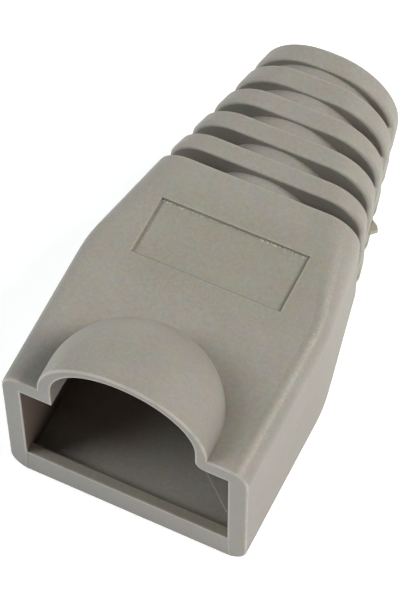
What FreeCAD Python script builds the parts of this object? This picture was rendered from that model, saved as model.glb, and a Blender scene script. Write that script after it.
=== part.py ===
import FreeCAD, Part
import math
import os
import Sketcher

# Strain relief boot for an eight-way modular plug: one flexible moulding.
# Frame: +Y from the plug opening to the cable end, +Z up, X across.
# The sketches count Y from the plug opening; the body is then moved back by
# half its length, so the origin is under the middle of the part, on its base.

os.makedirs("parts", exist_ok=True)
doc = FreeCAD.newDocument("boot_model")
V = FreeCAD.Vector

# ---------------------------------------------------------------- dimensions
sheet = doc.addObject("Spreadsheet::Sheet", "Dims")
table = [
    # outer body
    ("total_len", 26.20, "plug opening to cable end"),
    ("bend_y", 9.96, "where the sides start to taper"),
    ("bend_soft", 1.25, "half length of the soft bend in the sides"),
    ("shoulder_y", 16.50, "rear face of the solid body"),
    ("middle_y", 21.35, "middle section of the ribbed neck"),
    ("front_w", 7.07, "half width at the opening"),
    ("bend_w", 7.18, "half width at the bend"),
    ("shoulder_w", 6.07, "half width at the shoulder"),
    ("middle_w", 5.13, "half width at the middle of the neck"),
    ("end_w", 4.25, "half width at the cable end"),
    ("front_top", 9.79, "top of the opening end"),
    ("bend_top", 9.57, "top at the bend"),
    ("shoulder_top", 9.44, "top at the shoulder"),
    ("middle_top", 9.36, "top at the middle of the neck"),
    ("end_top", 9.60, "top at the cable end"),
    ("base_trim", 0.02, "allowance cut off to leave the base truly flat"),
    ("middle_bot", 0.30, "underside at the middle of the neck"),
    ("end_bot", 1.20, "underside at the cable end"),
    ("front_rt", 1.05, "upper corner radius, opening"),
    ("front_rb", 1.25, "lower corner radius, opening"),
    ("bend_rt", 1.00, "upper corner radius, bend"),
    ("bend_rb", 1.12, "lower corner radius, bend"),
    ("shoulder_rt", 1.95, "upper corner radius, shoulder"),
    ("shoulder_rb", 2.60, "lower corner radius, shoulder"),
    ("middle_rt", 2.95, "upper corner radius, middle of neck"),
    ("middle_rb", 3.20, "lower corner radius, middle of neck"),
    ("end_rt", 4.00, "upper corner radius, cable end"),
    ("end_rb", 3.90, "lower corner radius, cable end"),
    # plug cavity
    ("cavity_w", 5.99, "half width of the plug cavity"),
    ("cavity_top", 8.80, "ceiling of the plug cavity"),
    ("cavity_bot", 1.25, "floor of the plug cavity"),
    ("cavity_len", 9.60, "straight length of the plug cavity"),
    ("lip_top", 2.03, "top of the lip across the opening"),
    ("lip_len", 0.66, "front to back size of the lip"),
    ("lip_set", 0.03, "set-back of the lip's front face"),
    ("lip_splay", 0.14, "how far the side walls splay below the lip"),
    ("funnel_y", 14.60, "end of the narrowing part of the cavity"),
    ("funnel_w", 4.60, "half width there"),
    ("funnel_top", 8.20, "ceiling there"),
    ("funnel_bot", 2.40, "floor there"),
    # cable bore and the tube around it
    ("axis_z", 5.50, "height of the cable axis"),
    ("bore_rad", 3.00, "cable bore radius"),
    ("tube_front", 3.50, "tube radius at the first slot"),
    ("tube_rear", 3.83, "tube radius at the last slot"),
    # latch hood: a straight front part, then a quarter ellipsoid
    ("hood_x", -0.10, "hood centre, across"),
    ("hood_y", 1.31, "length of the straight front part"),
    ("hood_z", 9.86, "height where the hood starts to curve in"),
    ("hood_rx", 4.85, "hood half width"),
    ("hood_ry", 4.58, "hood length behind the straight part"),
    ("hood_rz", 4.26, "hood height over the straight sides"),
    ("pouch_x", -0.01, "inside centre, across"),
    ("pouch_y", 1.31, "length of the straight part inside"),
    ("pouch_z", 10.20, "height where the inside starts to curve in"),
    ("pouch_rx", 4.13, "inside half width"),
    ("pouch_ry", 3.95, "inside length behind the straight part"),
    ("pouch_rz", 3.54, "inside height over the straight sides"),
    ("lip_round", 0.55, "rounding of the right-hand ceiling corner"),
    # slots across the neck
    ("slot_a", 16.50, "slot 1 starts"), ("slot_a_len", 0.82, "slot 1 width"),
    ("slot_b", 18.43, "slot 2 starts"), ("slot_b_len", 0.87, "slot 2 width"),
    ("slot_c", 20.43, "slot 3 starts"), ("slot_c_len", 0.84, "slot 3 width"),
    ("slot_d", 22.40, "slot 4 starts"), ("slot_d_len", 0.77, "slot 4 width"),
    ("slot_e", 24.38, "slot 5 starts"), ("slot_e_len", 0.63, "slot 5 width"),
    ("rail_top_a", 5.60, "rail top at the first slot"),
    ("rail_top_e", 6.50, "rail top at the last slot"),
    ("ledge_in", 0.42, "how far in the rail's bevel starts"),
    ("ledge_out", 0.12, "how far past the side the bevel is drawn"),
    ("ledge_drop", 0.85, "height of the bevel as drawn"),
    ("rail_bot_a", 4.30, "rail underside at the first slot"),
    ("rail_bot_e", 4.85, "rail underside at the last slot"),
    # recessed panel on the top
    ("panel_w", 4.37, "half width of the recessed panel"),
    ("panel_y", 9.82, "front edge of the panel"),
    ("panel_len", 3.80, "front to back size of the panel"),
    ("panel_deep", 0.20, "depth of the panel"),
    # gate mark on the right-hand side of the second rib
    ("gate_z", 4.30, "top of the gate mark"),
    ("gate_high", 0.35, "height of the gate mark"),
    # edge rounding
    ("edge_r", 0.14, "rounding of the outer edges of the opening"),
    ("rib_r", 0.12, "rounding of the front edges of the ribs"),
    ("side_r", 0.22, "how far the ribs' front edges draw in at the sides"),
    ("side_d", 0.32, "front to back depth of that drawing in"),
]
val = {}
for i, (alias, number, words) in enumerate(table):
    row = str(i + 1)
    sheet.set("A" + row, words)
    sheet.set("B" + row, "%.4f" % number)
    sheet.setAlias("B" + row, alias)
    val[alias] = number
doc.recompute()

body = doc.addObject("PartDesign::Body", "Boot")
body.Label = "boot"
if hasattr(body, "AllowCompound"):
    body.AllowCompound = False


def plane(role):
    for f in body.Origin.OriginFeatures:
        if f.Role == role:
            return f
    raise RuntimeError(role)


def sketch(name, role, offset=None, rotation=None):
    s = body.newObject("Sketcher::SketchObject", name)
    s.AttachmentSupport = [(plane(role), "")]
    s.MapMode = "FlatFace"
    s.AttachmentOffset = FreeCAD.Placement(offset or V(0, 0, 0), rotation or FreeCAD.Rotation())
    return s


def at_y(name, expression, value):
    """A sketch across the part, at a distance behind the opening."""
    s = sketch(name, "XZ_Plane", V(0, 0, -value))
    s.setExpression("AttachmentOffset.Base.z", "-(" + expression + ")")
    return s


def line(s, ax, ay, bx, by):
    return s.addGeometry(Part.LineSegment(V(ax, ay, 0), V(bx, by, 0)), False)


def arc(s, cx, cy, r, a0, a1):
    c = Part.Circle(V(cx, cy, 0), V(0, 0, 1), r)
    return s.addGeometry(Part.ArcOfCircle(c, math.radians(a0), math.radians(a1)), False)


def con(s, *args, **kw):
    """Add a constraint; a named one takes its size from the sheet."""
    i = s.addConstraint(Sketcher.Constraint(*args))
    if "name" in kw:
        s.renameConstraint(i, kw["name"])
        s.setExpression("Constraints." + kw["name"], kw["bind"])
    return i


def rounded(name, y_expr, y, w, zb, zt, rb, rt, bind):
    """Rounded rectangle, symmetric about the middle plane; bind holds its five expressions."""
    s = at_y(name, y_expr, y)
    top = line(s, -w + rt, zt, w - rt, zt)
    a1 = arc(s, w - rt, zt - rt, rt, 0, 90)
    right = line(s, w, zt - rt, w, zb + rb)
    a2 = arc(s, w - rb, zb + rb, rb, 270, 360)
    bottom = line(s, w - rb, zb, -w + rb, zb)
    a3 = arc(s, -w + rb, zb + rb, rb, 180, 270)
    left = line(s, -w, zb + rb, -w, zt - rt)
    a4 = arc(s, -w + rt, zt - rt, rt, 90, 180)
    for p in ((top, 2, a1, 2), (a1, 1, right, 1), (right, 2, a2, 2), (a2, 1, bottom, 1),
              (bottom, 2, a3, 2), (a3, 1, left, 1), (left, 2, a4, 2), (a4, 1, top, 1)):
        con(s, "Tangent", *p)
    con(s, "Horizontal", bottom)
    con(s, "Vertical", right)
    con(s, "Vertical", left)
    con(s, "Equal", a1, a4)
    con(s, "Equal", a2, a3)
    con(s, "Symmetric", top, 1, top, 2, -2)
    con(s, "Radius", a1, rt, name="corner_top", bind=bind["rt"])
    con(s, "Radius", a2, rb, name="corner_bottom", bind=bind["rb"])
    con(s, "DistanceX", -1, 1, right, 1, w, name="half_width", bind=bind["w"])
    con(s, "DistanceY", -1, 1, top, 1, zt, name="height", bind=bind["top"])
    con(s, "DistanceY", -1, 1, bottom, 1, zb, name="underside", bind=bind["bot"])
    return s


def station(key, y_expr, y, flat):
    """A section whose sizes are cells of the sheet."""
    bind = {k: "Dims.%s_%s" % (key, k) for k in ("w", "top", "rt", "rb")}
    bind["bot"] = "-Dims.base_trim" if flat else "Dims.%s_bot" % key
    v = val
    return rounded(key + "_section", y_expr, y, v[key + "_w"], -v["base_trim"] if flat else v[key + "_bot"],
                   v[key + "_top"], v[key + "_rb"], v[key + "_rt"], bind)


def between(name, k0, k1, y0, y1, y_expr, y, y0_expr, y1_expr, drop=None, drop_value=0.0):
    """A section part of the way from one station to the next; drop takes a little off its width."""
    f = (y - y0) / (y1 - y0)
    share = "((%s - %s) / (%s - %s))" % (y_expr, y0_expr, y1_expr, y0_expr)
    v, got, bind = val, {}, {}
    for k in ("w", "top", "rt", "rb"):
        a, b = v["%s_%s" % (k0, k)], v["%s_%s" % (k1, k)]
        got[k] = a + (b - a) * f
        bind[k] = "Dims.%s_%s + (Dims.%s_%s - Dims.%s_%s) * %s" % (k0, k, k1, k, k0, k, share)
    if drop:
        bind["w"] += " - " + drop
        got["w"] -= drop_value
    bind["bot"] = "-Dims.base_trim"
    return rounded(name, y_expr, y, got["w"], -v["base_trim"], got["top"], got["rb"], got["rt"], bind)


def rectangle(s, x0, y0, x1, y1, bx=None, by=None, bz=None, centred=True, low=None):
    """Rectangle with its half width, lower and upper edge bound to the sheet."""
    b = line(s, x0, y0, x1, y0)
    r = line(s, x1, y0, x1, y1)
    t = line(s, x1, y1, x0, y1)
    l = line(s, x0, y1, x0, y0)
    for p in ((b, 2, r, 1), (r, 2, t, 1), (t, 2, l, 1), (l, 2, b, 1)):
        con(s, "Coincident", *p)
    con(s, "Horizontal", t)
    con(s, "Vertical", r)
    con(s, "Vertical", l)
    con(s, "Symmetric", b, 1, b, 2, -2)
    con(s, "DistanceX", -1, 1, b, 2, x1, name="half_width", bind=bx)
    con(s, "DistanceY", -1, 1, b, 2, y0, name="lower", bind=by)
    con(s, "DistanceY", -1, 1, t, 1, y1, name="upper", bind=bz)


def volume():
    doc.recompute()
    return body.Shape.Volume


def pocket(name, profile, length, bind, reverse=False):
    before = volume()
    p = body.newObject("PartDesign::Pocket", name)
    p.Profile = profile
    p.Type = 0
    p.Length = length
    p.setExpression("Length", bind)
    p.Reversed = reverse
    after = volume()
    if not after < before - 1e-4:
        raise RuntimeError("%s cuts nothing: %.3f to %.3f" % (name, before, after))
    return p


# ---------------------------------------------------------------- outer form
v = val
front = station("front", "0", 0.0, True)
bend_in = between("bend_in_section", "front", "bend", 0.0, v["bend_y"], "Dims.bend_y - Dims.bend_soft", v["bend_y"] - v["bend_soft"], "0", "Dims.bend_y")
slope_in = (v["bend_w"] - v["front_w"]) / v["bend_y"]
slope_out = (v["bend_w"] - v["shoulder_w"]) / (v["shoulder_y"] - v["bend_y"])
bend_mid = between("bend_section", "front", "bend", 0.0, v["bend_y"], "Dims.bend_y", v["bend_y"], "0", "Dims.bend_y",
                   "Dims.bend_soft / 4 * ((Dims.bend_w - Dims.front_w) / Dims.bend_y + (Dims.bend_w - Dims.shoulder_w) / (Dims.shoulder_y - Dims.bend_y))",
                   v["bend_soft"] / 4 * (slope_in + slope_out))
bend_out = between("bend_out_section", "bend", "shoulder", v["bend_y"], v["shoulder_y"], "Dims.bend_y + Dims.bend_soft", v["bend_y"] + v["bend_soft"], "Dims.bend_y", "Dims.shoulder_y")
shoulder = station("shoulder", "Dims.shoulder_y", v["shoulder_y"], True)
letters = "abcde"
KEYS = ("w", "top", "bot", "rt", "rb")


def neck_sizes(y, y_expr):
    """Sizes of the neck at y, from a quadratic through its three stations."""
    v = val
    ys, ym, ye = v["shoulder_y"], v["middle_y"], v["total_len"]
    s0 = (y - ym) * (y - ye) / ((ys - ym) * (ys - ye))
    s1 = (y - ys) * (y - ye) / ((ym - ys) * (ym - ye))
    s2 = (y - ys) * (y - ym) / ((ye - ys) * (ye - ym))
    YS, YM, YE, Y = "Dims.shoulder_y", "Dims.middle_y", "Dims.total_len", "(" + y_expr + ")"
    e0 = "(%s - %s) * (%s - %s) / ((%s - %s) * (%s - %s))" % (Y, YM, Y, YE, YS, YM, YS, YE)
    e1 = "(%s - %s) * (%s - %s) / ((%s - %s) * (%s - %s))" % (Y, YS, Y, YE, YM, YS, YM, YE)
    e2 = "(%s - %s) * (%s - %s) / ((%s - %s) * (%s - %s))" % (Y, YS, Y, YM, YE, YS, YE, YM)
    got, bind = {}, {}
    for k in KEYS:
        a = -v["base_trim"] if k == "bot" else v["shoulder_" + k]
        ea = "(-Dims.base_trim)" if k == "bot" else "Dims.shoulder_" + k
        got[k] = a * s0 + v["middle_" + k] * s1 + v["end_" + k] * s2
        bind[k] = "%s * %s + Dims.middle_%s * %s + Dims.end_%s * %s" % (ea, e0, k, e1, k, e2)
    return got, bind


def neck_section(name, y_expr, y, size_y_expr, size_y, inset_expr="0", inset=0.0, side_expr="0", side=0.0):
    """A section at y with the sizes of the neck at size_y, drawn in by inset above and below and by side at the sides."""
    got, bind = neck_sizes(size_y, size_y_expr)
    for k in KEYS:
        if k == "w":
            got[k] -= side
            bind[k] += " - " + side_expr
        elif k == "bot":
            got[k] += inset
            bind[k] += " + " + inset_expr
        else:
            got[k] -= inset
            bind[k] += " - " + inset_expr
    return rounded(name, y_expr, y, got["w"], got["bot"], got["top"], got["rb"], got["rt"], bind)


neck = []
for k in letters:
    y0, y1 = v["slot_" + k], v["slot_" + k] + v["slot_" + k + "_len"] + v["side_d"]
    if k != "a":
        neck.append(neck_section("rib_rear_" + k, "Dims.slot_" + k, y0, "Dims.slot_" + k, y0))
    e = "Dims.slot_%s + Dims.slot_%s_len + Dims.side_d" % (k, k)
    neck.append(neck_section("rib_front_" + k, e, y1, e, y1))
neck.append(neck_section("end_section", "Dims.total_len", v["total_len"], "Dims.total_len", v["total_len"]))
doc.recompute()


def loft(name, profile, sections, ruled):
    f = body.newObject("PartDesign::AdditiveLoft", name)
    f.Profile = profile
    f.Sections = sections
    f.Ruled = ruled
    volume()
    return f


loft("front_form", front, [bend_in], True)
loft("bend_form", bend_in, [bend_mid, bend_out], False)
loft("taper_form", bend_out, [shoulder], True)
loft("neck_form", shoulder, neck, True)

# ---------------------------------------------------------------- neck slots
# Each slot leaves the cable tube and a rail on each side.
y_of = {k: v["slot_" + k] for k in letters}
for k in letters:
    share = "((Dims.slot_%s - Dims.slot_a) / (Dims.slot_e - Dims.slot_a))" % k
    f = (v["slot_" + k] - v["slot_a"]) / (v["slot_e"] - v["slot_a"])
    rad = v["tube_front"] + (v["tube_rear"] - v["tube_front"]) * f
    zt = v["rail_top_a"] + (v["rail_top_e"] - v["rail_top_a"]) * f
    zb = v["rail_bot_a"] + (v["rail_bot_e"] - v["rail_bot_a"]) * f
    y1 = v["slot_" + k] + v["slot_" + k + "_len"]
    ax = v["axis_z"]
    s = at_y("slot_%s_profile" % k, "Dims.slot_" + k, v["slot_" + k])
    ang_t = math.degrees(math.asin((zt - ax) / rad))
    ang_b = math.degrees(math.asin((ax - zb) / rad))
    xt = rad * math.cos(math.radians(ang_t))
    xb = rad * math.cos(math.radians(ang_b))
    # over the tube, from rail top to rail top
    up = arc(s, 0, ax, rad, ang_t, 180 - ang_t)
    sizes, size_binds = neck_sizes(v["slot_" + k], "Dims.slot_" + k)
    xi, xo, zl = sizes["w"] - v["ledge_in"], sizes["w"] + v["ledge_out"], zt - v["ledge_drop"]
    t0 = line(s, xt, zt, xi, zt)
    r0 = line(s, xi, zt, xo, zl)
    t1 = line(s, xo, zl, 9, zl)
    t2 = line(s, 9, zl, 9, 12)
    t3 = line(s, 9, 12, -9, 12)
    t4 = line(s, -9, 12, -9, zl)
    t5 = line(s, -9, zl, -xo, zl)
    r1 = line(s, -xo, zl, -xi, zt)
    t6 = line(s, -xi, zt, -xt, zt)
    for p in ((up, 1, t0, 1), (t0, 2, r0, 1), (r0, 2, t1, 1), (t1, 2, t2, 1), (t2, 2, t3, 1), (t3, 2, t4, 1), (t4, 2, t5, 1),
              (t5, 2, r1, 1), (r1, 2, t6, 1), (t6, 2, up, 2)):
        con(s, "Coincident", *p)
    # under the tube, from rail to rail
    dn = arc(s, 0, ax, rad, 180 + ang_b, 360 - ang_b)
    b1 = line(s, xb, zb, 9, zb)
    b2 = line(s, 9, zb, 9, -2)
    b3 = line(s, 9, -2, -9, -2)
    b4 = line(s, -9, -2, -9, zb)
    b5 = line(s, -9, zb, -xb, zb)
    for p in ((dn, 2, b1, 1), (b1, 2, b2, 1), (b2, 2, b3, 1), (b3, 2, b4, 1), (b4, 2, b5, 1), (b5, 2, dn, 1)):
        con(s, "Coincident", *p)
    for g in (t0, t1, t3, t5, t6, b1, b3, b5):
        con(s, "Horizontal", g)
    for g in (t2, t4, b2, b4):
        con(s, "Vertical", g)
    con(s, "Coincident", up, 3, dn, 3)
    con(s, "PointOnObject", up, 3, -2)
    con(s, "Equal", up, dn)
    con(s, "DistanceX", -1, 1, t1, 2, 9, name="reach_right", bind="9")
    con(s, "DistanceX", -1, 1, t4, 1, -9, name="reach_left", bind="-9")
    con(s, "DistanceY", -1, 1, t3, 1, 12, name="reach_up", bind="12")
    con(s, "DistanceX", -1, 1, b1, 2, 9, name="reach_right_low", bind="9")
    con(s, "DistanceX", -1, 1, b4, 1, -9, name="reach_left_low", bind="-9")
    con(s, "DistanceY", -1, 1, b3, 1, -2, name="reach_down", bind="-2")
    top_bind = "Dims.rail_top_a + (Dims.rail_top_e - Dims.rail_top_a) * " + share
    con(s, "DistanceY", -1, 1, t0, 1, zt, name="rail_top", bind=top_bind)
    con(s, "DistanceY", -1, 1, t1, 1, zl, name="ledge_foot", bind=top_bind + " - Dims.ledge_drop")
    con(s, "DistanceY", -1, 1, t5, 2, zl, name="ledge_foot_left", bind=top_bind + " - Dims.ledge_drop")
    con(s, "DistanceX", -1, 1, t0, 2, xi, name="ledge_in", bind=size_binds["w"] + " - Dims.ledge_in")
    con(s, "DistanceX", -1, 1, t1, 1, xo, name="ledge_out", bind=size_binds["w"] + " + Dims.ledge_out")
    con(s, "DistanceX", -1, 1, t6, 1, -xi, name="ledge_in_left", bind="-(" + size_binds["w"] + " - Dims.ledge_in)")
    con(s, "DistanceX", -1, 1, t5, 2, -xo, name="ledge_out_left", bind="-(" + size_binds["w"] + " + Dims.ledge_out)")
    con(s, "Horizontal", up, 1, up, 2)
    con(s, "DistanceY", -1, 1, b1, 1, zb, name="rail_bottom", bind="Dims.rail_bot_a + (Dims.rail_bot_e - Dims.rail_bot_a) * " + share)
    con(s, "Horizontal", dn, 1, dn, 2)
    con(s, "DistanceY", -1, 1, up, 3, ax, name="tube_axis", bind="Dims.axis_z")
    con(s, "Radius", up, rad, name="tube", bind="Dims.tube_front + (Dims.tube_rear - Dims.tube_front) * " + share)
    pocket("slot_" + k, s, v["slot_" + k + "_len"] + v["side_d"], "Dims.slot_%s_len + Dims.side_d" % k)

# the ribs' front edges are rounded: a small round all the way, and a wider one at the sides
def side_at(y):
    return 1.0 - math.sqrt(1.0 - (1.0 - y) ** 2)


for k in letters:
    y0 = v["slot_" + k] + v["slot_" + k + "_len"]
    e0 = "Dims.slot_%s + Dims.slot_%s_len" % (k, k)
    r, sr, sd = v["rib_r"], v["side_r"], v["side_d"]
    full, full_expr = y0 + sd, e0 + " + Dims.side_d"
    rings = []
    for n, deg in enumerate((0, 30, 60, 90)):
        c, sn = math.cos(math.radians(deg)), math.sin(math.radians(deg))
        q = side_at(r * (1 - c) / sd)
        rings.append(neck_section("nose_%s_%d" % (k, n), "%s + Dims.rib_r * %.9f" % (e0, 1 - c), y0 + r * (1 - c),
                                  full_expr, full, "Dims.rib_r * %.9f" % (1 - sn), r * (1 - sn),
                                  "Dims.side_r * %.9f" % q, sr * q))
    before = volume()
    loft("rib_nose_" + k, rings[0], rings[1:], False)
    if not volume() > before + 0.1:
        raise RuntimeError("rib nose %s adds nothing" % k)
    rings = rings[3:]
    for n, share in enumerate((0.35, 0.7, 1.0)):
        y = r + (sd - r) * share
        q = side_at(y / sd)
        rings.append(neck_section("side_%s_%d" % (k, n), "%s + Dims.rib_r + (Dims.side_d - Dims.rib_r) * %.9f" % (e0, share), y0 + y,
                                  full_expr, full, "0", 0.0, "Dims.side_r * %.9f" % q, sr * q))
    loft("rib_side_" + k, rings[0], rings[1:], False)
    if not volume() > before + 0.2:
        raise RuntimeError("rib side %s adds nothing" % k)

# the base is cut flat
s = at_y("base_profile", "-1", -1.0)
rectangle(s, -9.0, -3.0, 9.0, 0.0, "9", "-3", "0")
pocket("base_flat", s, v["total_len"] + 2, "Dims.total_len + 2")

# ---------------------------------------------------------------- latch hood


def half_ellipse(s, cx, cy, rx, ry, bx, by, brx, bry):
    """Upper half of an ellipse whose long or short axis lies along the sketch's X."""
    big = rx >= ry
    e = Part.Ellipse(V(cx + rx, cy, 0), V(cx, cy + ry, 0), V(cx, cy, 0)) if big else Part.Ellipse(V(cx, cy + ry, 0), V(cx - rx, cy, 0), V(cx, cy, 0))
    a0, a1 = (0.0, math.pi) if big else (-math.pi / 2, math.pi / 2)
    g = s.addGeometry(Part.ArcOfEllipse(e, a0, a1), False)
    s.exposeInternalGeometry(g)
    lines = [i for i in range(g + 1, len(s.Geometry)) if isinstance(s.Geometry[i], Part.LineSegment)]
    lines.sort(key=lambda i: -s.Geometry[i].length())
    major, minor = lines[:2]
    con(s, "Horizontal" if big else "Vertical", major)
    con(s, "DistanceX", -1, 1, g, 3, cx, name="centre_x", bind=bx)
    con(s, "DistanceY", -1, 1, g, 3, cy, name="centre_y", bind=by)
    con(s, "Distance", major, 2 * max(rx, ry), name="long_axis", bind="2 * " + (brx if big else bry))
    con(s, "Distance", minor, 2 * min(rx, ry), name="short_axis", bind="2 * " + (bry if big else brx))
    con(s, "Horizontal", g, 1, g, 3)
    con(s, "Horizontal", g, 2, g, 3)
    return g


def arch(name, x, z, rx, rz, foot, bx, bz, brx, brz, foot_bind, y_expr="0", y=0.0):
    """The front outline of the hood: straight sides under half an ellipse."""
    s = at_y(name, y_expr, y)
    g = half_ellipse(s, x, z, rx, rz, bx, bz, brx, brz)
    first, last = s.Geometry[g].StartPoint, s.Geometry[g].EndPoint
    right, left = (1, 2) if first.x > last.x else (2, 1)
    r = line(s, x + rx, z, x + rx, foot)
    b = line(s, x + rx, foot, x - rx, foot)
    l = line(s, x - rx, foot, x - rx, z)
    con(s, "Coincident", g, right, r, 1)
    con(s, "Coincident", r, 2, b, 1)
    con(s, "Coincident", b, 2, l, 1)
    con(s, "Coincident", l, 2, g, left)
    con(s, "Vertical", r)
    con(s, "Vertical", l)
    con(s, "DistanceY", -1, 1, b, 1, foot, name="foot", bind=foot_bind)
    return s


def plan(name, x, y, rx, ry, z, bx, by, brx, bry, z_expr, front, front_bind):
    """The plan of the hood: a straight front part, then half an ellipse."""
    s = sketch(name, "XY_Plane", V(0, 0, z))
    s.setExpression("AttachmentOffset.Base.z", z_expr)
    g = half_ellipse(s, x, y, rx, ry, bx, by, brx, bry)
    first, last = s.Geometry[g].StartPoint, s.Geometry[g].EndPoint
    right, left = (1, 2) if first.x > last.x else (2, 1)
    r = line(s, x + rx, y, x + rx, front)
    b = line(s, x + rx, front, x - rx, front)
    l = line(s, x - rx, front, x - rx, y)
    con(s, "Coincident", g, right, r, 1)
    con(s, "Coincident", r, 2, b, 1)
    con(s, "Coincident", b, 2, l, 1)
    con(s, "Coincident", l, 2, g, left)
    con(s, "Vertical", r)
    con(s, "Vertical", l)
    con(s, "DistanceY", -1, 1, b, 1, front, name="front", bind=front_bind)
    return s


def pad(name, profile, length, bind, reverse):
    before = volume()
    p = body.newObject("PartDesign::Pad", name)
    p.Profile = profile
    p.Length = length
    p.setExpression("Length", bind)
    p.Reversed = reverse
    if not volume() > before + 1e-4:
        raise RuntimeError(name + " adds nothing")
    return p


foot_z = 9.0
s = arch("hood_front", v["hood_x"], v["hood_z"], v["hood_rx"], v["hood_rz"], foot_z,
         "Dims.hood_x", "Dims.hood_z", "Dims.hood_rx", "Dims.hood_rz", "9")
pad("hood_straight", s, v["hood_y"], "Dims.hood_y", True)

s = plan("hood_plan", v["hood_x"], v["hood_y"], v["hood_rx"], v["hood_ry"], foot_z,
         "Dims.hood_x", "Dims.hood_y", "Dims.hood_rx", "Dims.hood_ry", "9", 0.4, "0.4")
pad("hood_foot", s, v["hood_z"] - foot_z, "Dims.hood_z - 9", False)

hood = body.newObject("PartDesign::AdditiveEllipsoid", "hood")
hood.Angle1 = 0
hood.Angle2 = 90
hood.Angle3 = 180
hood.Placement = FreeCAD.Placement(V(v["hood_x"], v["hood_y"], v["hood_z"]), FreeCAD.Rotation())
hood.setExpression("Radius1", "Dims.hood_rz")
hood.setExpression("Radius2", "Dims.hood_rx")
hood.setExpression("Radius3", "Dims.hood_ry")
hood.setExpression("Placement.Base.x", "Dims.hood_x")
hood.setExpression("Placement.Base.y", "Dims.hood_y")
hood.setExpression("Placement.Base.z", "Dims.hood_z")
print("with hood", round(volume(), 2), body.Shape.isValid(), len(body.Shape.Solids))


def fillet(name, test, radius, bind):
    """Round the edges that a test picks out."""
    doc.recompute()
    shape = body.Tip.Shape
    names = ["Edge%d" % (i + 1) for i, e in enumerate(shape.Edges) if test(e)]
    if not names:
        raise RuntimeError(name + " finds no edge")
    base = body.Tip
    f = body.newObject("PartDesign::Fillet", name)
    f.Base = (base, names)
    f.Radius = radius
    f.setExpression("Radius", bind)
    doc.recompute()
    bad = "Invalid" in f.State or "Error" in f.State or f.Shape.isNull() or not f.Shape.isValid()
    print(name, len(names), "edges", "FAILED" if bad else "ok")
    return f, bad


def box_of(e):
    b = e.BoundBox
    return b.XMin, b.XMax, b.YMin, b.YMax, b.ZMin, b.ZMax


def opening_rim(e):
    x0, x1, y0, y1, z0, z1 = box_of(e)
    if not (abs(y0) < 1e-4 and abs(y1) < 1e-4):
        return False
    return True


rim, rim_bad = fillet("opening_edge", opening_rim, v["edge_r"], "Dims.edge_r")

# ---------------------------------------------------------------- plug cavity
s = at_y("mouth_profile", "-1", -1.0)
rectangle(s, -v["cavity_w"], v["lip_top"], v["cavity_w"], v["cavity_top"], "Dims.cavity_w", "Dims.lip_top", "Dims.cavity_top")
pocket("mouth", s, v["lip_len"] + 1.2, "Dims.lip_len + 1.2")

s = at_y("cavity_profile", "Dims.lip_len", v["lip_len"])
rectangle(s, -v["cavity_w"], v["cavity_bot"], v["cavity_w"], v["cavity_top"], "Dims.cavity_w", "Dims.cavity_bot", "Dims.cavity_top")
pocket("cavity", s, v["cavity_len"] - v["lip_len"], "Dims.cavity_len - Dims.lip_len")

s0 = at_y("funnel_front", "Dims.cavity_len - 0.01", v["cavity_len"] - 0.01)
rectangle(s0, -v["cavity_w"], v["cavity_bot"], v["cavity_w"], v["cavity_top"], "Dims.cavity_w", "Dims.cavity_bot", "Dims.cavity_top")
s1 = at_y("funnel_rear", "Dims.funnel_y", v["funnel_y"])
rectangle(s1, -v["funnel_w"], v["funnel_bot"], v["funnel_w"], v["funnel_top"], "Dims.funnel_w", "Dims.funnel_bot", "Dims.funnel_top")
doc.recompute()
before = volume()
funnel = body.newObject("PartDesign::SubtractiveLoft", "funnel")
funnel.Profile = s0
funnel.Sections = [s1]
funnel.Ruled = True
if not volume() < before - 1:
    raise RuntimeError("funnel cuts nothing")

s = at_y("bore_profile", "Dims.funnel_y - 0.1", v["funnel_y"] - 0.1)
c = s.addGeometry(Part.Circle(V(0, v["axis_z"], 0), V(0, 0, 1), v["bore_rad"]), False)
con(s, "PointOnObject", c, 3, -2)
con(s, "DistanceY", -1, 1, c, 3, v["axis_z"], name="axis_height", bind="Dims.axis_z")
con(s, "Radius", c, v["bore_rad"], name="bore", bind="Dims.bore_rad")
pocket("cable_bore", s, v["total_len"] - v["funnel_y"] + 1.1, "Dims.total_len - Dims.funnel_y + 1.1")

# ---------------------------------------------------------------- hood inside
s = arch("pouch_front", v["pouch_x"], v["pouch_z"], v["pouch_rx"], v["pouch_rz"], v["cavity_top"] - 0.05,
         "Dims.pouch_x", "Dims.pouch_z", "Dims.pouch_rx", "Dims.pouch_rz", "Dims.cavity_top - 0.05", "-1", -1.0)
pocket("pouch_straight", s, v["pouch_y"] + 1, "Dims.pouch_y + 1")

# the slot through the ceiling, under the hood
s = plan("latch_slot_profile", v["pouch_x"], v["pouch_y"], v["pouch_rx"], v["pouch_ry"], v["pouch_z"],
         "Dims.pouch_x", "Dims.pouch_y", "Dims.pouch_rx", "Dims.pouch_ry", "Dims.pouch_z", 0.3, "0.3")
pocket("latch_slot", s, v["pouch_z"] - v["cavity_top"] + 0.05, "Dims.pouch_z - Dims.cavity_top + 0.05")

before = volume()
pouch = body.newObject("PartDesign::SubtractiveEllipsoid", "hood_inside")
pouch.Angle1 = 0
pouch.Angle2 = 90
pouch.Angle3 = 180
pouch.Placement = FreeCAD.Placement(V(v["pouch_x"], v["pouch_y"], v["pouch_z"]), FreeCAD.Rotation())
pouch.setExpression("Radius1", "Dims.pouch_rz")
pouch.setExpression("Radius2", "Dims.pouch_rx")
pouch.setExpression("Radius3", "Dims.pouch_ry")
pouch.setExpression("Placement.Base.x", "Dims.pouch_x")
pouch.setExpression("Placement.Base.y", "Dims.pouch_y")
pouch.setExpression("Placement.Base.z", "Dims.pouch_z")
if not volume() < before - 1:
    raise RuntimeError("hood inside cuts nothing")

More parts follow.
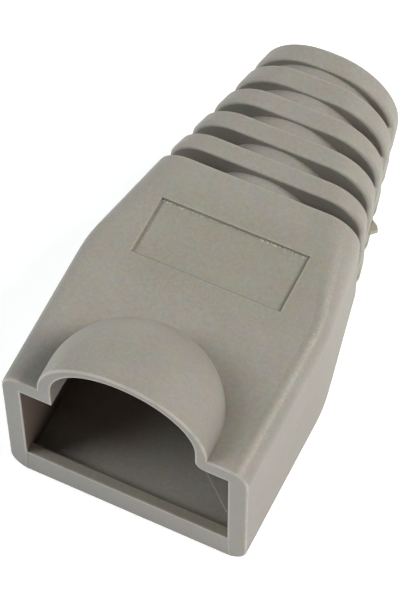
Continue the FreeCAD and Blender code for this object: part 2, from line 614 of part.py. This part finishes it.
# the right-hand corner of the ceiling is rounded where the hood starts
xr = v["pouch_x"] + v["pouch_rx"]
r = v["lip_round"]
zc = v["cavity_top"]
s = at_y("lip_round_profile", "-0.5", -0.5)
g0 = line(s, xr - 0.3, zc - 0.2, xr - 0.3, zc + r)
g1 = line(s, xr - 0.3, zc + r, xr, zc + r)
g2 = arc(s, xr + r, zc + r, r, 180, 270)
g3 = line(s, xr + r, zc, xr + r, zc - 0.2)
g4 = line(s, xr + r, zc - 0.2, xr - 0.3, zc - 0.2)
for p in ((g0, 2, g1, 1), (g1, 2, g2, 1), (g2, 2, g3, 1), (g3, 2, g4, 1), (g4, 2, g0, 1)):
    con(s, "Coincident", *p)
con(s, "Vertical", g0)
con(s, "Horizontal", g1)
con(s, "Vertical", g3)
con(s, "Horizontal", g4)
con(s, "Radius", g2, r, name="corner", bind="Dims.lip_round")
con(s, "DistanceX", -1, 1, g2, 1, xr, name="slot_edge", bind="Dims.pouch_x + Dims.pouch_rx")
con(s, "DistanceY", -1, 1, g2, 2, zc, name="ceiling", bind="Dims.cavity_top")
con(s, "Horizontal", g2, 1, g2, 3)
con(s, "Vertical", g2, 2, g2, 3)
con(s, "DistanceY", g4, 1, g2, 2, 0.2, name="below", bind="0.2")
con(s, "DistanceX", g1, 1, g1, 2, 0.3, name="inside", bind="0.3")
pocket("lip_rounding", s, 2.6, "2.6")

# the lip's front face stands back a little from the side walls, which splay towards the base
s = at_y("lip_face_profile", "-1", -1.0)
cw, zt = v["cavity_w"], v["lip_top"] + 0.3
cb = cw + v["lip_splay"]
g0 = line(s, -cw, zt, cw, zt)
g1 = line(s, cw, zt, cb, -1)
g2 = line(s, cb, -1, -cb, -1)
g3 = line(s, -cb, -1, -cw, zt)
for p in ((g0, 2, g1, 1), (g1, 2, g2, 1), (g2, 2, g3, 1), (g3, 2, g0, 1)):
    con(s, "Coincident", *p)
con(s, "Symmetric", g0, 1, g0, 2, -2)
con(s, "Symmetric", g2, 1, g2, 2, -2)
con(s, "DistanceX", -1, 1, g0, 2, cw, name="half_width", bind="Dims.cavity_w")
con(s, "DistanceX", -1, 1, g1, 2, cb, name="half_base", bind="Dims.cavity_w + Dims.lip_splay")
con(s, "DistanceY", -1, 1, g0, 2, zt, name="top", bind="Dims.lip_top + 0.3")
con(s, "DistanceY", -1, 1, g1, 2, -1, name="bottom", bind="-1")
pocket("lip_face", s, 1.0 + v["lip_set"], "1 + Dims.lip_set")

# ---------------------------------------------------------------- top panel
tilt = math.degrees(math.atan2(v["bend_top"] - v["shoulder_top"], v["shoulder_y"] - v["bend_y"]))
s = sketch("panel_profile", "XY_Plane", V(0, 0, v["bend_top"] + 0.021), FreeCAD.Rotation(V(1, 0, 0), -tilt))
rectangle(s, -v["panel_w"], v["panel_y"], v["panel_w"], v["panel_y"] + v["panel_len"], "Dims.panel_w", "Dims.panel_y", "Dims.panel_y + Dims.panel_len")
top_here = v["bend_top"] + v["bend_y"] * math.tan(math.radians(tilt))
s.AttachmentOffset = FreeCAD.Placement(V(0, 0, top_here + 0.3), FreeCAD.Rotation(V(1, 0, 0), -tilt))
pocket("panel", s, v["panel_deep"] + 0.3, "Dims.panel_deep + 0.3")

# ---------------------------------------------------------------- gate mark
s = sketch("gate_profile", "XY_Plane", V(0, 0, v["gate_z"]))
s.setExpression("AttachmentOffset.Base.z", "Dims.gate_z")
pts = [(5.1, 20.29), (5.38, 20.29), (5.73, 20.05), (5.86, 19.83), (5.53, 19.51), (5.1, 19.44)]
ids = []
for i in range(len(pts)):
    a, b = pts[i], pts[(i + 1) % len(pts)]
    ids.append(line(s, a[0], a[1], b[0], b[1]))
for i in range(len(ids)):
    con(s, "Coincident", ids[i], 2, ids[(i + 1) % len(ids)], 1)
before = volume()
gate = body.newObject("PartDesign::Pad", "gate_mark")
gate.Profile = s
gate.Length = v["gate_high"]
gate.setExpression("Length", "Dims.gate_high")
gate.Reversed = True
if not volume() > before:
    raise RuntimeError("gate mark adds nothing")

# ---------------------------------------------------------------- place, test, write
body.Placement = FreeCAD.Placement(V(0, -v["total_len"] / 2, 0), FreeCAD.Rotation())
body.setExpression("Placement.Base.y", "-Dims.total_len / 2")
doc.recompute()

problems = []
for o in doc.Objects:
    if "Invalid" in o.State or "Error" in o.State:
        problems.append("%s %s" % (o.Name, o.State))
shape = body.Shape
if shape.isNull() or not shape.isValid():
    problems.append("boot shape is null or not valid")
if len(shape.Solids) != 1:
    problems.append("boot has %d solids" % len(shape.Solids))
if problems:
    raise RuntimeError("; ".join(problems))
b = shape.optimalBoundingBox()
print("boot: volume %.2f mm3, box %.3f..%.3f, %.3f..%.3f, %.3f..%.3f, faces %d" % (shape.Volume, b.XMin, b.XMax, b.YMin, b.YMax, b.ZMin, b.ZMax, len(shape.Faces)))
shape.exportStep("parts/boot.step")
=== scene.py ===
import math

import bpy
from mathutils import Matrix, Vector

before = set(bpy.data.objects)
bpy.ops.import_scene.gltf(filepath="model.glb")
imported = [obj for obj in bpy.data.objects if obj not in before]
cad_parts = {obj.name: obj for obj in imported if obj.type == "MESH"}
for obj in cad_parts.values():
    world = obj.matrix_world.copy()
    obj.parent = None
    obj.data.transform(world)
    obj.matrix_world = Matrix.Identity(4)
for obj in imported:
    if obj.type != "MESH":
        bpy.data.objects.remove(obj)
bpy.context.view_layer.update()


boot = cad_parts["boot"]

# ---------------------------------------------------------------- camera
AZ, EL, ROLL = math.radians(25.77), math.radians(59.3), math.radians(-0.2)
EYE = Vector((0.031243, -0.068595, 0.129450))
ca, sa, ce, se = math.cos(AZ), math.sin(AZ), math.cos(EL), math.sin(EL)
right = Vector((ca, sa, 0.0))
fwd = Vector((-sa * ce, ca * ce, -se))
up = Vector((-sa * se, ca * se, ce))
r2 = right * math.cos(ROLL) + up * math.sin(ROLL)
u2 = up * math.cos(ROLL) - right * math.sin(ROLL)
cam_data = bpy.data.cameras.new("camera")
cam_data.sensor_width = 36.0
cam_data.lens = 2655.0 / 601.0 * 36.0
cam_data.clip_start = 0.005
cam_data.clip_end = 10.0
cam = bpy.data.objects.new("camera", cam_data)
cam.matrix_world = Matrix((
    (r2.x, u2.x, -fwd.x, EYE.x),
    (r2.y, u2.y, -fwd.y, EYE.y),
    (r2.z, u2.z, -fwd.z, EYE.z),
    (0, 0, 0, 1)))
bpy.context.scene.collection.objects.link(cam)
bpy.context.scene.camera = cam

bpy.context.scene.view_settings.view_transform = "Standard"


# ---------------------------------------------------------------- material helpers
def material(name):
    m = bpy.data.materials.new(name)
    m.use_nodes = True
    t = m.node_tree
    t.nodes.clear()
    return m, t


def node(t, kind, **props):
    n = t.nodes.new(kind)
    for k, val in props.items():
        setattr(n, k, val)
    return n


def plug(t, socket, value):
    if isinstance(value, (int, float, tuple)):
        socket.default_value = value
    else:
        t.links.new(value, socket)


def noise(t, coord, scale, detail, rough=0.5, distortion=0.0):
    n = node(t, "ShaderNodeTexNoise")
    n.inputs["Scale"].default_value = scale
    n.inputs["Detail"].default_value = detail
    n.inputs["Roughness"].default_value = rough
    n.inputs["Distortion"].default_value = distortion
    t.links.new(coord, n.inputs["Vector"])
    return n.outputs["Fac"]


def span(t, value, a, b, c, d, smooth=False):
    n = node(t, "ShaderNodeMapRange")
    n.interpolation_type = "SMOOTHSTEP" if smooth else "LINEAR"
    plug(t, n.inputs[0], value)
    for i, x in zip((1, 2, 3, 4), (a, b, c, d)):
        n.inputs[i].default_value = x
    return n.outputs[0]


def maths(t, op, a, b=0.0, c=None):
    n = node(t, "ShaderNodeMath", operation=op)
    plug(t, n.inputs[0], a)
    plug(t, n.inputs[1], b)
    if c is not None:
        plug(t, n.inputs[2], c)
    return n.outputs[0]


def times(t, *parts):
    r = parts[0]
    for p in parts[1:]:
        r = maths(t, "MULTIPLY", r, p)
    return r


def band(t, value, lo, hi, soft):
    """1 between lo and hi, falling to 0 over soft on each side."""
    return times(t, span(t, value, lo - soft, lo, 0.0, 1.0, True), span(t, value, hi, hi + soft, 1.0, 0.0, True))


def tint(t, colour, factor, to, how="MIX"):
    n = node(t, "ShaderNodeMix", data_type="RGBA", blend_type=how)
    plug(t, n.inputs[0], factor)
    plug(t, n.inputs[6], colour)
    plug(t, n.inputs[7], to)
    return n.outputs[2]


# ---------------------------------------------------------------- soft plastic
mat, t = material("soft_pvc")
out = node(t, "ShaderNodeOutputMaterial")
bsdf = node(t, "ShaderNodeBsdfPrincipled")
t.links.new(bsdf.outputs[0], out.inputs["Surface"])
place = node(t, "ShaderNodeTexCoord").outputs["Object"]
mm = node(t, "ShaderNodeVectorMath", operation="SCALE")
t.links.new(place, mm.inputs[0])
mm.inputs["Scale"].default_value = 1000.0
mm = mm.outputs[0]
xyz = node(t, "ShaderNodeSeparateXYZ")
t.links.new(mm, xyz.inputs[0])
X, Y, Z = xyz.outputs

# clouds of slightly different greys, from 3 mm down to a fifth of a millimetre
wide = noise(t, mm, 0.35, 2.0, 0.5)
cloud = noise(t, mm, 0.85, 3.0, 0.55, 0.4)
mottle = noise(t, mm, 4.5, 3.0, 0.65)
fleck = noise(t, mm, 11.0, 2.0, 0.6)
grey = tint(t, (0.267, 0.262, 0.230, 1), span(t, cloud, 0.36, 0.64, 0.0, 1.0, True), (0.275, 0.250, 0.230, 1))
shade = maths(t, "ADD", times(t, mottle, 0.36), times(t, fleck, 0.24))
shade = maths(t, "ADD", shade, times(t, wide, 0.14))
shade = maths(t, "ADD", shade, 1.0 - 0.37)
shade_rgb = node(t, "ShaderNodeCombineXYZ")
for i in range(3):
    t.links.new(shade, shade_rgb.inputs[i])
colour = tint(t, grey, 1.0, shade_rgb.outputs[0], "MULTIPLY")
cast = span(t, noise(t, mm, 1.25, 2.0, 0.5), 0.38, 0.62, 0.0, 1.0, True)
colour = tint(t, colour, cast, (1.02, 1.0, 0.93, 1), "MULTIPLY")

# painted shade: the colour is darkened where ambient occlusion finds little light reaching, in the cavity and beside
# the hood
hollow = node(t, "ShaderNodeAmbientOcclusion")
hollow.samples = 8
hollow.inputs["Distance"].default_value = 0.004
occlusion_shade = span(t, hollow.outputs["AO"], 0.15, 0.85, 1.0, 0.0)
in_cavity = times(t, band(t, X, -5.97, 5.97, 0.05), span(t, Y, -13.0, -12.3, 0.0, 1.0, True), span(t, Y, 1.6, 1.7, 1.0, 0.0), band(t, Z, 1.22, 8.80, 0.04))
by_hood = times(t, span(t, Y, -9.5, -7.0, 1.0, 0.0, True), span(t, Z, 9.0, 9.2, 0.0, 1.0), 0.75)
inner = maths(t, "MAXIMUM", times(t, in_cavity, 1.0), maths(t, "MAXIMUM", by_hood, 0.10))
colour = tint(t, colour, times(t, occlusion_shade, inner), (0.46, 0.40, 0.36, 1), "MULTIPLY")

# tints placed on single faces and places, mostly painted shade and painted light
normal = node(t, "ShaderNodeSeparateXYZ")
t.links.new(node(t, "ShaderNodeTexCoord").outputs["Normal"], normal.inputs[0])
NX, NY, NZ = normal.outputs
# painted shade: the cavity's inner left wall is darkened and reddened
left_wall_shade = times(t, span(t, NX, 0.8, 0.95, 0.0, 1.0), band(t, X, -6.3, -5.9, 0.02), band(t, Z, 1.22, 8.85, 0.05), span(t, Y, -13.05, -13.0, 0.0, 1.0), span(t, Y, 1.6, 1.7, 1.0, 0.0))
colour = tint(t, colour, left_wall_shade, (0.62, 0.50, 0.47, 1), "MULTIPLY")
# painted shade: the back and left of the cavity are darkened
deep_cavity_shade = times(t, in_cavity, span(t, Y, -11.2, -9.0, 0.0, 1.0, True), span(t, X, 0.5, -2.5, 0.0, 1.0, True))
colour = tint(t, colour, deep_cavity_shade, (0.70, 0.60, 0.57, 1), "MULTIPLY")
# painted shade: the top of the lip inside the mouth is darkened and browned
lip_top_shade = times(t, band(t, Y, -13.06, -12.45, 0.02), band(t, X, -5.98, 5.98, 0.02), span(t, NZ, 0.8, 0.95, 0.0, 1.0), span(t, Z, 2.6, 2.7, 1.0, 0.0))
colour = tint(t, colour, lip_top_shade, (0.86, 0.83, 0.78, 1), "MULTIPLY")
# painted shade: the front face is darkened and cooled, most on the left
front_face_shade = times(t, span(t, NY, -0.80, -0.95, 0.0, 1.0), span(t, Y, -13.0, -12.9, 1.0, 0.0))
colour = tint(t, colour, times(t, front_face_shade, span(t, X, -7.0, 7.0, 1.0, 0.45)), (0.85, 0.87, 0.93, 1), "MULTIPLY")
# painted shade: the right side is darkened towards the front
right_side_shade = times(t, span(t, NX, 0.5, 0.9, 0.0, 1.0), span(t, X, 4.0, 4.5, 0.0, 1.0))
colour = tint(t, colour, times(t, right_side_shade, span(t, Y, -13.0, 2.0, 1.0, 0.0)), (0.89, 0.87, 0.91, 1), "MULTIPLY")
# painted shadow: the top beside the hood's left foot is darkened
hood_left_shadow = times(t, span(t, Z, 9.0, 9.2, 0.0, 1.0), span(t, Z, 9.9, 10.1, 1.0, 0.0), band(t, X, -6.7, -4.6, 0.7), span(t, Y, -10.8, -8.6, 1.0, 0.0, True), span(t, Y, -12.95, -12.6, 0.0, 1.0))
colour = tint(t, colour, hood_left_shadow, (0.80, 0.81, 0.83, 1), "MULTIPLY")
# painted shade: the hood's upper surfaces facing right are darkened a little
hood_top_shade = times(t, span(t, Z, 9.75, 10.3, 0.0, 1.0), span(t, NX, -0.1, 0.5, 0.0, 1.0))
colour = tint(t, colour, hood_top_shade, (0.91, 0.91, 0.90, 1), "MULTIPLY")
# the middle of the top is made a little darker and greener
top_mid = times(t, span(t, NZ, 0.85, 0.95, 0.0, 1.0), span(t, Z, 8.6, 9.0, 0.0, 1.0), band(t, X, -3.5, 4.5, 1.5), band(t, Y, -3.6, 0.8, 1.6))
colour = tint(t, colour, top_mid, (0.950, 0.955, 0.915, 1), "MULTIPLY")
# painted shade: a dark line along the panel's front edge
panel_front_shade = times(t, band(t, Y, -3.33, -3.24, 0.02), band(t, X, -4.37, 4.37, 0.02), span(t, Z, 9.0, 9.2, 0.0, 1.0))
colour = tint(t, colour, panel_front_shade, (0.76, 0.74, 0.76, 1), "MULTIPLY")
# painted light: the panel's far wall, which faces the front, is lightened
panel_far_light = times(t, span(t, NY, -0.5, -0.8, 0.0, 1.0), band(t, Y, 0.35, 0.65, 0.03), band(t, X, -4.45, 4.45, 0.02), span(t, Z, 8.7, 8.8, 0.0, 1.0))
colour = tint(t, colour, panel_far_light, (1.38, 1.36, 1.34, 1), "MULTIPLY")
# painted highlight: a pale, flecked band along the top right edge's rounding
corner_highlight = times(t, band(t, NX, 0.48, 0.58, 0.09), span(t, X, 5.0, 5.6, 0.0, 1.0), span(t, Z, 8.0, 8.6, 0.0, 1.0), span(t, Y, -2.0, 3.0, 1.0, 0.25, True), span(t, Y, -13.0, -12.7, 0.0, 1.0))
colour = tint(t, colour, times(t, corner_highlight, span(t, fleck, 0.35, 0.65, 0.35, 1.0)), (1.22, 1.20, 1.17, 1), "MULTIPLY")
# painted shade: a slightly darker band on the rounding between the top and the highlight
under_corner_shade = times(t, band(t, NX, 0.06, 0.28, 0.08), span(t, X, 5.0, 5.6, 0.0, 1.0), span(t, Z, 9.0, 9.2, 0.0, 1.0), span(t, Y, -2.0, 3.0, 1.0, 0.0, True))
colour = tint(t, colour, under_corner_shade, (0.90, 0.90, 0.88, 1), "MULTIPLY")
# painted light and shade on the core tube's tops in the first two slots: lighter and bluer in the first, darker in
# the second
from_axis = node(t, "ShaderNodeVectorMath", operation="LENGTH")
off_axis = node(t, "ShaderNodeCombineXYZ")
t.links.new(X, off_axis.inputs[0])
t.links.new(maths(t, "ADD", Z, -5.5), off_axis.inputs[1])
t.links.new(off_axis.outputs[0], from_axis.inputs[0])
tube_top_light_and_shade = times(t, band(t, from_axis.outputs["Value"], 3.3, 3.66, 0.03), span(t, NZ, 0.2, 0.6, 0.0, 1.0))
colour = tint(t, colour, times(t, tube_top_light_and_shade, band(t, Y, 3.42, 4.20, 0.01)), (1.02, 1.04, 1.08, 1), "MULTIPLY")
colour = tint(t, colour, times(t, tube_top_light_and_shade, band(t, Y, 5.35, 6.18, 0.01)), (0.95, 0.97, 1.00, 1), "MULTIPLY")

# painted highlight: outer convex edges are paled, found by ambient occlusion taken inside the surface
edge = node(t, "ShaderNodeAmbientOcclusion")
edge.samples = 8
edge.inside = True
edge.inputs["Distance"].default_value = 0.00016
edge_highlight = span(t, edge.outputs["AO"], 0.55, 0.93, 1.0, 0.0)
edge_highlight = times(t, edge_highlight, span(t, noise(t, mm, 2.2, 2.0), 0.3, 0.6, 0.65, 1.0))
at_front = span(t, Y, -12.93, -12.88, 1.0, 0.35, True)
edge_highlight = times(t, edge_highlight, at_front, span(t, panel_front_shade, 0.0, 0.3, 1.0, 0.0))
colour = tint(t, colour, edge_highlight, (0.44, 0.41, 0.365, 1), "MIX")
# painted highlight: pale lines along the front rim's outer edge and the left wall's inner edge
rim_highlight = times(t, span(t, Y, -12.97, -12.94, 1.0, 0.0), band(t, NY, -0.90, -0.25, 0.08))
rim_highlight = times(t, rim_highlight, span(t, noise(t, mm, 1.4, 3.0), 0.30, 0.60, 0.45, 1.0))
inside_edge_highlight = times(t, span(t, Y, -13.04, -13.02, 1.0, 0.0), band(t, X, -6.07, -5.985, 0.02), band(t, Z, 2.1, 8.85, 0.05))
rim_highlight = maths(t, "MAXIMUM", rim_highlight, times(t, inside_edge_highlight, 0.7))
colour = tint(t, colour, rim_highlight, (0.40, 0.365, 0.32, 1), "MIX")

# a faint pale line across the cavity floor, and a painted shadow along the lip's back edge
across = maths(t, "ADD", times(t, X, 0.6433), maths(t, "ADD", times(t, Y, 0.7656), -0.6433 * 3.11 + 0.7656 * 9.66))
along = maths(t, "ADD", times(t, X, 0.7656), maths(t, "ADD", times(t, Y, -0.6433), -0.7656 * 3.11 - 0.6433 * 9.66))
floor_line = times(t, band(t, across, -0.025, 0.025, 0.03), band(t, along, 0.0, 2.53, 0.2), band(t, Z, 0.9, 1.27, 0.05))
colour = tint(t, colour, times(t, floor_line, 0.8), (0.40, 0.385, 0.35, 1))
# painted shadow: a near-black line along the lip's back edge, where the floor behind it lies in shade
lip_back_shadow = times(t, band(t, Y, -12.50, -12.43, 0.015), band(t, Z, 1.80, 2.05, 0.02), band(t, X, -5.2, 5.99, 0.5))
colour = tint(t, colour, times(t, lip_back_shadow, 0.75), (0.045, 0.042, 0.036, 1))

# scattered pale specks: along the panel's far edge, on the right shoulder and on the hood's left rim
dots = node(t, "ShaderNodeTexVoronoi", feature="F1")
dots.inputs["Scale"].default_value = 5.5
dots.inputs["Randomness"].default_value = 1.0
t.links.new(mm, dots.inputs["Vector"])
dot = span(t, dots.outputs["Distance"], 0.16, 0.30, 1.0, 0.0, True)
some = span(t, noise(t, mm, 2.6, 1.0), 0.44, 0.54, 0.0, 1.0)
crumbs = span(t, noise(t, mm, 8.0, 1.0), 0.50, 0.58, 0.0, 1.0)
ends = maths(t, "MAXIMUM", band(t, X, -4.25, -2.2, 0.6), band(t, X, 1.6, 4.30, 0.6))
by_panel = times(t, band(t, Y, 0.40, 0.47, 0.03), maths(t, "MAXIMUM", ends, 0.25), span(t, Z, 9.0, 9.05, 0.0, 1.0), band(t, X, -4.30, 4.33, 0.02), crumbs, span(t, dot, 0.0, 1.0, 0.65, 1.0))
by_side = times(t, band(t, Y, -4.6, -3.5, 0.3), span(t, Z, 9.0, 9.05, 0.0, 1.0), band(t, NX, 0.20, 0.50, 0.06), span(t, X, 5.0, 5.5, 0.0, 1.0), crumbs, dot)
by_rim = times(t, band(t, Y, -12.95, -12.5, 0.1), band(t, X, -4.9, -3.3, 0.1), span(t, Z, 10.4, 10.6, 0.0, 1.0), dot, some)
speck = maths(t, "MAXIMUM", by_panel, maths(t, "MAXIMUM", times(t, by_side, 0.55), times(t, by_rim, 0.7)))
colour = tint(t, colour, times(t, speck, 0.9), (0.62, 0.60, 0.56, 1))

# the gate mark is a little yellow
gate = times(t, band(t, X, 5.44, 6.0, 0.03), band(t, Y, 6.35, 7.2, 0.02), band(t, Z, 3.9, 4.35, 0.03))
colour = tint(t, colour, times(t, gate, 0.8), (0.44, 0.40, 0.31, 1))
t.links.new(colour, bsdf.inputs["Base Color"])

bsdf.inputs["Specular IOR Level"].default_value = 0.35
dull = maths(t, "ADD", span(t, mottle, 0.3, 0.7, 0.50, 0.60), times(t, edge_highlight, -0.06))
t.links.new(dull, bsdf.inputs["Roughness"])

# moulded grain: a fine skin and a slow waviness
grain = noise(t, mm, 14.0, 3.0, 0.6)
wave = noise(t, mm, 1.1, 2.0, 0.5)
height = maths(t, "ADD", times(t, grain, 0.009), times(t, wave, 0.012))
height = maths(t, "ADD", height, times(t, fleck, 0.012))
height = maths(t, "ADD", height, times(t, speck, 0.02))
bump = node(t, "ShaderNodeBump")
bump.inputs["Strength"].default_value = 1.0
bump.inputs["Distance"].default_value = 0.001
t.links.new(height, bump.inputs["Height"])
t.links.new(bump.outputs[0], bsdf.inputs["Normal"])

boot.data.materials.clear()
boot.data.materials.append(mat)
for slot in boot.material_slots:
    slot.material = mat

# ---------------------------------------------------------------- floor
me = bpy.data.meshes.new("floor")
s = 3.0
h = -0.00003
me.from_pydata([(-s, -s, h), (s, -s, h), (s, s, h), (-s, s, h)], [], [(0, 1, 2, 3)])
floor = bpy.data.objects.new("floor", me)
bpy.context.scene.collection.objects.link(floor)
fm, ft = material("floor_white")
fo = node(ft, "ShaderNodeOutputMaterial")
fb = node(ft, "ShaderNodeBsdfPrincipled")
fb.inputs["Base Color"].default_value = (0.9, 0.9, 0.9, 1)
fb.inputs["Roughness"].default_value = 0.9
fb.inputs["Specular IOR Level"].default_value = 0.1
fb.inputs["Emission Color"].default_value = (0.98, 0.99, 1.0, 1)
fb.inputs["Emission Strength"].default_value = 0.42
ft.links.new(fb.outputs[0], fo.inputs["Surface"])
floor.data.materials.append(fm)


# ---------------------------------------------------------------- light
def area(name, az, el, dist, size, power, color=(1, 1, 1), target=(0, 0, 0.005)):
    """A soft box; az is the direction it stands in, counted from +X towards +Y."""
    ld = bpy.data.lights.new(name, "AREA")
    ld.shape = "DISK"
    ld.size = size
    ld.energy = power
    ld.color = color
    o = bpy.data.objects.new(name, ld)
    a, e = math.radians(az), math.radians(el)
    loc = Vector(target) + dist * Vector((math.cos(a) * math.cos(e), math.sin(a) * math.cos(e), math.sin(e)))
    o.location = loc
    o.rotation_euler = (Vector(target) - loc).to_track_quat("-Z", "Y").to_euler()
    bpy.context.scene.collection.objects.link(o)
    return o


area("key_right", 10, 45, 0.6, 0.30, 2.95, (1.0, 0.985, 0.95))
area("key_left", 210, 45, 0.6, 0.30, 2.1, (0.96, 1.0, 1.0))
area("rim_right", 45, 25, 0.6, 0.30, 0.7, (1.0, 0.97, 0.95))
area("rim_left", 150, 45, 0.6, 0.30, 0.5, (0.97, 1.0, 1.0))
area("front", 270, 25, 0.6, 0.30, 0.15)

w = bpy.data.worlds.new("world")
w.use_nodes = True
wt = w.node_tree
sky = wt.nodes["Background"]
sky.inputs["Color"].default_value = (1, 1, 1, 1)
height = node(wt, "ShaderNodeSeparateXYZ")
wt.links.new(node(wt, "ShaderNodeTexCoord").outputs["Generated"], height.inputs[0])
wt.links.new(span(wt, height.outputs[2], 0.10, 0.22, 0.85, 0.04, True), sky.inputs["Strength"])
bpy.context.scene.world = w
